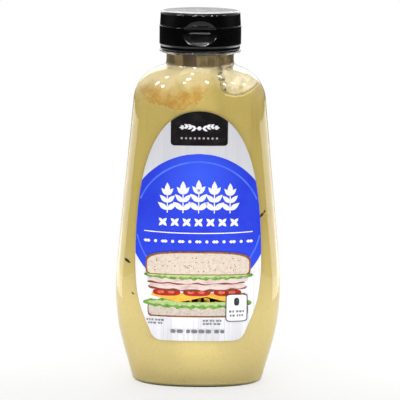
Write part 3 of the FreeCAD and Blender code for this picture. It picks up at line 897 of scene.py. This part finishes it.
def printed(name, polygons, layer, material, side=FRONT, thick=0.0):
    """Flat (x, z) shapes laid on the label as one piece, lifted by its layer."""
    bm = bmesh.new()
    for polygon in polygons:
        area = sum(a[0] * b[1] - b[0] * a[1] for a, b in zip(polygon, polygon[1:] + polygon[:1]))
        if (area > 0) != (side == FRONT):
            polygon = list(reversed(polygon))
        bm.faces.new([bm.verts.new((x, 0.0, z)) for x, z in polygon])
    bmesh.ops.triangulate(bm, faces=bm.faces[:])
    cut_cells(bm)
    bmesh.ops.remove_doubles(bm, verts=bm.verts[:], dist=1e-4)
    proud = LABEL_PROUD + layer * LAYER
    normals = []
    for v in bm.verts:
        x, z = v.co.x, v.co.z
        n = skin_normal(x, z, side)
        normals.append(n)
        v.co = Vector((x, skin_y(x, z, 0.0, side), z)) + n * proud
    if thick:
        rim = [e for e in bm.edges if e.is_boundary]
        made = bmesh.ops.extrude_edge_only(bm, edges=rim)["geom"]
        for v in (g for g in made if isinstance(g, bmesh.types.BMVert)):
            v.co -= skin_normal(v.co.x, v.co.z, side) * thick
    for v in bm.verts:
        v.co *= MM
    obj = from_bmesh(name, bm)
    if thick:
        smooth_by_angle(obj, 40)
    else:
        obj.data.normals_split_custom_set_from_vertices(normals)
    return finish_piece(obj, material, "bottle")


def strip(z0, z1, half, steps=60):
    """A shape symmetric about the middle, whose half-width at height z is half(z)."""
    zs = [z0 + (z1 - z0) * k / steps for k in range(steps + 1)]
    right = [(half(z), z) for z in zs if half(z) > 0.02]
    if not right:
        return []
    return right + [(-x, z) for x, z in reversed(right)]


def disc_half(z, radius, centre):
    return math.sqrt(max(0.0, radius**2 - (z - centre) ** 2))


def blob(cx, cz, rx, rz, steps=20, turn=0.0, power=2.0):
    """A filled oval, squarer with a higher power."""
    out = []
    across, up = math.cos(turn), math.sin(turn)
    for x, z, _ in oval(rx, rz, power, 0, steps):
        out.append((cx + x * across - z * up, cz + x * up + z * across))
    return out


def leaf(x, z, length, width, turn):
    """A pointed leaf that grows from (x, z) in the direction turn."""
    edge = []
    steps = 9
    for side in (1, -1):
        run = range(steps + 1) if side > 0 else range(steps - 1, 0, -1)
        for k in run:
            t = k / steps
            edge.append((length * t, side * width * math.sin(math.pi * t**0.8) / 2))
    c, s = math.cos(turn), math.sin(turn)
    return [(x + px * c - pz * s, z + px * s + pz * c) for px, pz in edge]


def bar(x0, z0, x1, z1, width):
    length = math.hypot(x1 - x0, z1 - z0)
    nx, nz = -(z1 - z0) / length * width / 2, (x1 - x0) / length * width / 2
    return [(x0 + nx, z0 + nz), (x1 + nx, z1 + nz), (x1 - nx, z1 - nz), (x0 - nx, z0 - nz)]


def sprig(cx, low, high, spread, pairs=3):
    """An upright sprig: a stem, pairs of leaves and one at the tip."""
    height = high - low
    shapes = [bar(cx, low, cx, high - height * 0.28, 0.5)]
    for k in range(pairs):
        z = low + height * (0.1 + 0.24 * k)
        size = height * (0.40 - 0.045 * k)
        for side in (1, -1):
            turn = math.radians(90 - side * (52 - 6 * k))
            shapes.append(leaf(cx, z, size * spread, size * 0.42, turn))
    shapes.append(leaf(cx, high - height * 0.36, height * 0.36, height * 0.17, math.radians(90)))
    return shapes


def flower(cx, cz, size):
    return [leaf(cx, cz, size, size * 0.55, math.radians(45 + 90 * k)) for k in range(4)]


def dashes(x0, x1, z, height, widths, gap, seed):
    """A row of plain bars between x0 and x1."""
    rng = random.Random(seed)
    out, x, left = [], x0, rng.randint(2, 4)
    while x < x1 - 0.3:
        w = min(rng.uniform(*widths), x1 - x)
        out.append(blob(x + w / 2, z + height / 2, w / 2, height / 2, 16, 0.0, 4.0))
        left -= 1
        x += w + gap * (1 if left else 2.6)
        left = left or rng.randint(2, 4)
    return out


def wavy(x0, x1, low, high, waves, depth, seed, steps=90):
    """A band between two heights whose edges ripple."""
    rng = random.Random(seed)
    phase = [rng.uniform(0, 6.28) for _ in range(4)]
    top, bottom = [], []
    for k in range(steps + 1):
        t = k / steps
        x = x0 + (x1 - x0) * t
        fade = math.sin(math.pi * t) ** 0.35
        run = waves * 6.28 * t
        a = depth * (math.sin(run + phase[0]) + 0.5 * math.sin(2.3 * run + phase[1]))
        b = depth * (math.sin(run + phase[2]) + 0.5 * math.sin(1.7 * run + phase[3]))
        mid = (low + high) / 2
        top.append((x, mid + (high - mid) * fade + a * fade * 0.6))
        bottom.append((x, mid - (mid - low) * fade + b * fade * 0.6 - 0.05))
    return top + list(reversed(bottom))


def loaf(cx, low, high, half, crown):
    """A slice of bread seen edge on, with a domed top and rounded foot."""
    pts = [(cx - half + 1.4, low), (cx - half + 0.3, low + 0.8), (cx - half, low + 2.2)]
    steps = 24
    for k in range(steps + 1):
        t = math.pi * (1 - k / steps)
        c, s = math.cos(t), math.sin(t)
        x = half * math.copysign(abs(c) ** 0.62, c)
        pts.append((cx + x, high - crown + crown * s**0.8))
    pts += [(cx + half, low + 2.2), (cx + half - 0.3, low + 0.8), (cx + half - 1.4, low)]
    return pts


def ring_line(radius, width, centre, tag, layer, side):
    """The thin pale circle inside the blue field, where it lies on the label."""
    quads = []
    steps = 180
    for k in range(steps):
        t0, t1 = 2 * math.pi * k / steps, 2 * math.pi * (k + 1) / steps
        quad = [
            (r * math.cos(t), centre + r * math.sin(t))
            for r, t in ((radius, t0), (radius, t1), (radius - width, t1), (radius - width, t0))
        ]
        if all(abs(x) < label_half(z) - 0.3 and z > 61.0 for x, z in quad):
            quads.append(quad)
    printed("blue_ring" + tag, quads, layer, "ring", side)


def tab_half(z):
    half, round_from = TAB_HALF, TAB_BOTTOM + TAB_CORNER
    if z < round_from:
        half -= TAB_CORNER - math.sqrt(max(0.0, TAB_CORNER**2 - (round_from - z) ** 2))
    return min(half, label_half(z) - 0.05)


def label_base(tag, side, node):
    outline = LABEL_SIDE + [(-x, z) for x, z in reversed(LABEL_SIDE[:-1])]
    base = printed("label_film" + tag, [outline], 0, "board", side, thick=0.27)
    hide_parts(node)
    printed("top_tab" + tag, [strip(TAB_BOTTOM, LABEL_TOP - 0.02, tab_half, 90)], 1, "black", side)
    blue = strip(
        BLUE_CENTRE - BLUE_RADIUS + 0.05,
        BLUE_CENTRE + BLUE_RADIUS - 0.01,
        lambda z: min(label_half(z) - 0.05, disc_half(z, BLUE_RADIUS, BLUE_CENTRE)),
        160,
    )
    printed("blue_field" + tag, [blue], 1, "blue", side)
    ring_line(30.4, 0.75, BLUE_CENTRE, tag, 2, side)


def tab_ornament(tag, side):
    spray = []
    for s in (1, -1):
        for k in range(4):
            x = s * (1.6 + 1.9 * k)
            z = 127.2 + 0.9 * math.sin(k * 0.9)
            spray.append(bar(x - s * 1.6, 127.2 + 0.9 * math.sin((k - 1) * 0.9) * (k > 0), x, z, 0.34))
            for up in (1, -1):
                turn = math.radians(90 - s * 58) if up > 0 else math.radians(-90 + s * 58)
                spray.append(leaf(x, z, 2.7 - 0.3 * k, 1.1, turn))
        spray.append(leaf(s * 7.3, 127.5, 2.4, 1.1, 0.0 if s > 0 else math.pi))
    spray.append(blob(0, 127.2, 1.0, 1.0))
    printed("tab_spray" + tag, spray, 2, "white", side)
    dots = [blob(-8.4 + 2.1 * k, 122.4, 0.52, 0.52, 12) for k in range(9)]
    printed("tab_dots" + tag, dots, 2, "silver", side)


def white_motifs(tag, side):
    shapes = []
    for k, height in enumerate((14.6, 15.6, 16.2, 15.6, 14.6)):
        shapes += sprig(-15.0 + 7.5 * k, 86.2, 86.2 + height, 0.98)
    printed("sprigs" + tag, shapes, 3, "white", side)
    blooms = []
    for k in range(7):
        blooms += flower(-17.1 + 5.7 * k, 81.7, 2.7)
    printed("blooms" + tag, blooms, 3, "white", side)
    rule = []
    steps = 52
    for k in range(steps):
        x0, x1 = -26.0 + 52.0 * k / steps, -26.0 + 52.0 * (k + 1) / steps
        z0, z1 = (76.4 + 0.5 * (x / 26.0) ** 2 for x in (x0, x1))
        rule.append([(x0, z0 - 0.24), (x1, z1 - 0.24), (x1, z1 + 0.24), (x0, z0 + 0.24)])
    printed("thin_rule" + tag, rule, 3, "white", side)
    beads = []
    for k in range(-6, 7):
        x, z = 4.1 * k, 72.3
        if k % 2:
            beads.append(blob(x, z, 0.75, 0.75, 14))
        else:
            beads += [leaf(x - 0.2, z, 1.9, 1.5, 0.0), leaf(x + 0.2, z, 1.9, 1.5, math.pi)]
    printed("bead_row" + tag, beads, 3, "white", side)


def food_picture():
    """A filled sandwich, built up from the lower slice."""
    cheese = [(-22.5, 45.6), (-9.0, 42.6), (4.0, 45.4), (14.0, 42.8), (23.0, 45.6)]
    cheese += [(22.5, 47.2), (-22.0, 47.2)]
    slices = (-15.0, -0.5, 14.2)
    tomatoes = [blob(x, 47.4, 6.6, 1.75, 26, 0.0, 2.8) for x in slices]
    cores = [blob(x + dx, 47.5, 1.7, 0.75, 14) for x in slices for dx in (-2.9, 2.2)]
    for name, shapes, layer, material in (
        ("bread_low_crust", [loaf(0, 35.2, 42.4, 24.2, 2.2)], 2, "crust"),
        ("bread_low", [loaf(0, 36.0, 42.2, 23.7, 2.0)], 3, "crumb"),
        ("leaf_low", [wavy(-26.5, 26.0, 39.6, 44.6, 9, 0.7, 5)], 4, "leaf"),
        ("leaf_low_pale", [wavy(-24.0, 23.0, 41.0, 43.6, 11, 0.5, 8)], 5, "leaf_pale"),
        ("cheese", [cheese], 6, "cheese"),
        ("tomato", tomatoes, 7, "tomato"),
        ("tomato_core", cores, 8, "flesh"),
        ("meat_shade", [wavy(-24.0, 23.5, 48.0, 52.0, 5, 0.45, 21)], 8, "rind"),
        ("meat_low", [wavy(-23.6, 23.2, 48.9, 52.2, 5, 0.5, 22)], 9, "meat"),
        ("meat_fold", [wavy(-24.4, 22.6, 51.4, 53.0, 4, 0.4, 31)], 10, "rind"),
        ("meat_high", [wavy(-24.2, 24.0, 51.9, 55.0, 4, 0.5, 32)], 11, "meat"),
        ("leaf_high", [wavy(-26.0, 26.4, 53.8, 57.6, 10, 0.6, 41)], 12, "leaf"),
        ("leaf_high_pale", [wavy(-24.6, 24.0, 54.9, 57.0, 12, 0.45, 43)], 13, "leaf_pale"),
        ("bread_high_crust", [loaf(0, 56.0, 67.6, 25.2, 5.2)], 14, "crust"),
        ("bread_high", [loaf(0, 56.4, 66.7, 24.4, 4.9)], 15, "bread"),
    ):
        printed(name, shapes, layer, material)
    pores = []
    rng = random.Random(12)
    for _ in range(34):
        x, z = rng.uniform(-21, 21), rng.uniform(57.8, 64.6)
        pores.append(blob(x, z, rng.uniform(0.2, 0.5), rng.uniform(0.15, 0.3), 8, rng.uniform(0, 3)))
    printed("bread_pores", pores, 16, "crust")


def plate_outline(grow):
    """An upright plate with rounded corners, grow mm larger on every side."""
    cx, low, high, half, corner = 18.6, 33.4, 46.4, 4.9, 1.6
    pts = []
    for sign, middle in ((1, high - corner), (-1, low + corner)):
        for k in range(17):
            t = math.radians(180 - 180 * k / 16) if sign > 0 else math.radians(-180 * k / 16)
            across = math.copysign(abs(math.cos(t)) ** 0.35, math.cos(t))
            up = math.copysign(abs(math.sin(t)) ** 0.7, math.sin(t))
            pts.append((cx + (half + grow) * across, middle + (corner + grow) * up))
    return pts


def badge():
    """A plain white plate with a dark edge and grey bars."""
    printed("plate_edge", [plate_outline(0.35)], 17, "dark")
    printed("plate", [plate_outline(-0.1)], 18, "white")
    printed("plate_mark", [blob(18.6, 42.9, 1.25, 1.9, 22, 0.0, 3.0)], 19, "dark")
    rows = dashes(15.0, 22.2, 37.6, 1.1, (0.8, 1.5), 0.35, 3)
    rows += dashes(15.4, 21.8, 35.6, 1.1, (0.7, 1.3), 0.35, 4)
    printed("plate_rows", rows, 19, "grey")


def small_print():
    rows = []
    for i, z in enumerate((33.2, 31.6)):
        rows += dashes(-24.6 + i * 0.8, -16.0 - i, z, 0.8, (0.7, 1.5), 0.35, 60 + i)
    for i, z in enumerate((33.2, 31.6)):
        rows += dashes(2.5, 12.0, z, 0.8, (0.7, 1.6), 0.35, 70 + i)
    printed("small_rows", rows, 17, "grey")
    printed("foot_row", dashes(-13.0, 13.4, 27.4, 1.7, (1.6, 3.0), 0.6, 91), 17, "grey")


def back_panel():
    """The hidden back: ruled rows in a plain panel."""
    frame_bars = [bar(-17, z, 17, z, 0.4) for z in (36, 66)]
    frame_bars += [bar(x, 35.8, x, 66.2, 0.4) for x in (-17, 17)]
    printed("panel_white.back", [[(-17, 36), (17, 36), (17, 66), (-17, 66)]], 3, "white", BACK)
    printed("panel_frame.back", frame_bars, 4, "dark", BACK)
    rows = []
    for k in range(10):
        z = 38.0 + 2.7 * k
        rows += dashes(-15.5, 3.0 - (k % 3) * 1.5, z, 1.1, (1.0, 2.6), 0.5, 200 + k)
        rows += dashes(10.5, 15.5, z, 1.1, (1.0, 2.0), 0.5, 300 + k)
    printed("panel_rows.back", rows, 4, "grey", BACK)
    printed("foot_row.back", dashes(-12.0, 12.0, 27.4, 1.6, (0.9, 1.9), 0.6, 92), 2, "grey", BACK)


# ------------------------------------------------------------------ build
make_bottle()
make_mustard()
make_flecks()
make_cap_base()
make_collar()
make_lid()
make_lip()
make_hinge_film()
label_base("", FRONT, "label_front")
tab_ornament("", FRONT)
white_motifs("", FRONT)
food_picture()
badge()
small_print()
label_base(".back", BACK, "label_back")
tab_ornament(".back", BACK)
white_motifs(".back", BACK)
back_panel()


# ------------------------------------------------------------------ stage, light and camera
def floor():
    """White floor that fades to plain white away from the bottle, for the camera only."""
    mat = bpy.data.materials.new("pale_floor")
    mat.use_nodes = True
    n = Nodes(mat.node_tree)
    n.tree.nodes.clear()
    diffuse = n.add("ShaderNodeBsdfDiffuse")
    diffuse.inputs["Color"].default_value = (0.86, 0.86, 0.86, 1)
    glow = n.add("ShaderNodeEmission")
    away = n.add("ShaderNodeVectorMath", operation="LENGTH")
    n.link(n.add("ShaderNodeTexCoord").outputs["Object"], away.inputs[0])
    fade = n.step(away.outputs["Value"], 0.08, 0.45, 0.6, 1.0)
    path = n.add("ShaderNodeLightPath")
    mixer = n.add("ShaderNodeMixShader")
    n.link(n.times(path.outputs["Is Camera Ray"], fade), mixer.inputs[0])
    n.link(diffuse.outputs[0], mixer.inputs[1])
    n.link(glow.outputs[0], mixer.inputs[2])
    n.link(mixer.outputs[0], n.add("ShaderNodeOutputMaterial").inputs["Surface"])
    mesh = bpy.data.meshes.new("floor")
    x, near, far = 0.42, -0.42, 2.5
    mesh.from_pydata([(-x, near, 0), (x, near, 0), (x, far, 0), (-x, far, 0)], [], [(0, 1, 2, 3)])
    mesh.materials.append(mat)
    obj = bpy.data.objects.new("floor", mesh)
    into_scene(obj)


def world():
    """White to the camera; for light, dark below the horizon and ahead, bright above and behind."""
    made = bpy.data.worlds.new("studio")
    bpy.context.scene.world = made
    made.use_nodes = True
    n = Nodes(made.node_tree)
    n.tree.nodes.clear()
    split = n.add("ShaderNodeSeparateXYZ")
    n.link(n.add("ShaderNodeTexCoord").outputs["Generated"], split.inputs[0])
    around = n.step(split.outputs["Y"], -0.5, 0.35, 0.05, 0.9)
    high = n.step(split.outputs["Z"], 0.3, 0.9, 0.0, 0.9)
    risen = n.step(split.outputs["Z"], -0.05, 0.1, 0.03, 1.0)
    level = n.times(n.most(around, high), risen)
    level = n.most(level, n.add("ShaderNodeLightPath").outputs["Is Camera Ray"])
    back = n.add("ShaderNodeBackground")
    n.link(level, back.inputs["Strength"])
    n.link(back.outputs[0], n.add("ShaderNodeOutputWorld").inputs["Surface"])


def area(name, at, target, size, radiance, shape="RECTANGLE"):
    """A soft panel of a plain brightness, aimed at a point."""
    data = bpy.data.lights.new(name, "AREA")
    data.shape = shape
    data.size, data.size_y = size
    surface = size[0] * size[1] * (math.pi / 4 if shape in ("DISK", "ELLIPSE") else 1.0)
    data.energy = radiance * math.pi * surface
    obj = bpy.data.objects.new(name, data)
    obj.location = at
    obj.rotation_euler = (Vector(target) - Vector(at)).to_track_quat("-Z", "Y").to_euler()
    obj.visible_camera = False
    into_scene(obj)
    return obj


def on_dome(up, around, distance=1.3):
    """A place up and round from the front by angles in degrees, that far from the shoulder."""
    t, rise = math.radians(around), math.radians(up)
    flat = distance * math.cos(rise)
    return (flat * math.sin(t), -flat * math.cos(t), 0.14 + distance * math.sin(rise))


MIDDLE, SHOULDER = (0, 0, 0.09), (0, 0, 0.15)
# lamps that only show as glints on the shoulder, neck and cap: height, way round, size, brightness
GLINTS = ((29, -72, 0.15, 34), (29, -16, 0.15, 34), (29, 52, 0.12, 34),
          (44, -70, 0.11, 60), (44, -16, 0.11, 60), (44, 40, 0.1, 60), (46, 4, 0.08, 60),
          (20, -52, 0.08, 90), (19, -20, 0.08, 80), (19, 8, 0.08, 80), (21, 34, 0.08, 80), (30, 78, 0.09, 80))
CAMERA_AT, LENS_MM, SENSOR_MM = (0.0006, -1.113, 0.2755), 208.08, 36.0
DOWN, ROLL = math.radians(9.5), math.radians(0.55)

floor()
world()
area("top_panel", (-0.1, -0.45, 1.15), MIDDLE, (0.9, 0.6), 2.0)
area("left_card", (-0.2, 0.16, 0.062), (0.1, 0.16, 0.062), (0.28, 0.12), 2.2)
area("right_card", (0.2, 0.15, 0.062), (-0.1, 0.15, 0.062), (0.3, 0.12), 2.4)
area("back_panel", (0, 1.25, 0.75), (0, 0, 0.18), (1.4, 0.9), 2.1)
table_card = area("table_card", (0, -0.18, 0.004), (0, -0.18, 1.0), (0.4, 0.25), 2.4)
table_card.visible_glossy = False
for up, around, size, bright in GLINTS:
    lamp = area(f"glint_{up}_{around}", on_dome(up, around), SHOULDER, (size, size), bright, "DISK")
    lamp.visible_diffuse = False

camera_data = bpy.data.cameras.new("camera")
camera_data.lens = LENS_MM
camera_data.sensor_width = SENSOR_MM
camera_data.clip_start, camera_data.clip_end = 0.05, 50.0
camera = bpy.data.objects.new("camera", camera_data)
camera.location = CAMERA_AT
camera.rotation_mode = "XYZ"
view = Vector((0, math.cos(DOWN), -math.sin(DOWN)))
camera.rotation_euler = (Quaternion(view, -ROLL) @ view.to_track_quat("-Z", "Y")).to_euler()
into_scene(camera)
bpy.context.scene.camera = camera
bpy.context.scene.view_settings.view_transform = "Standard"
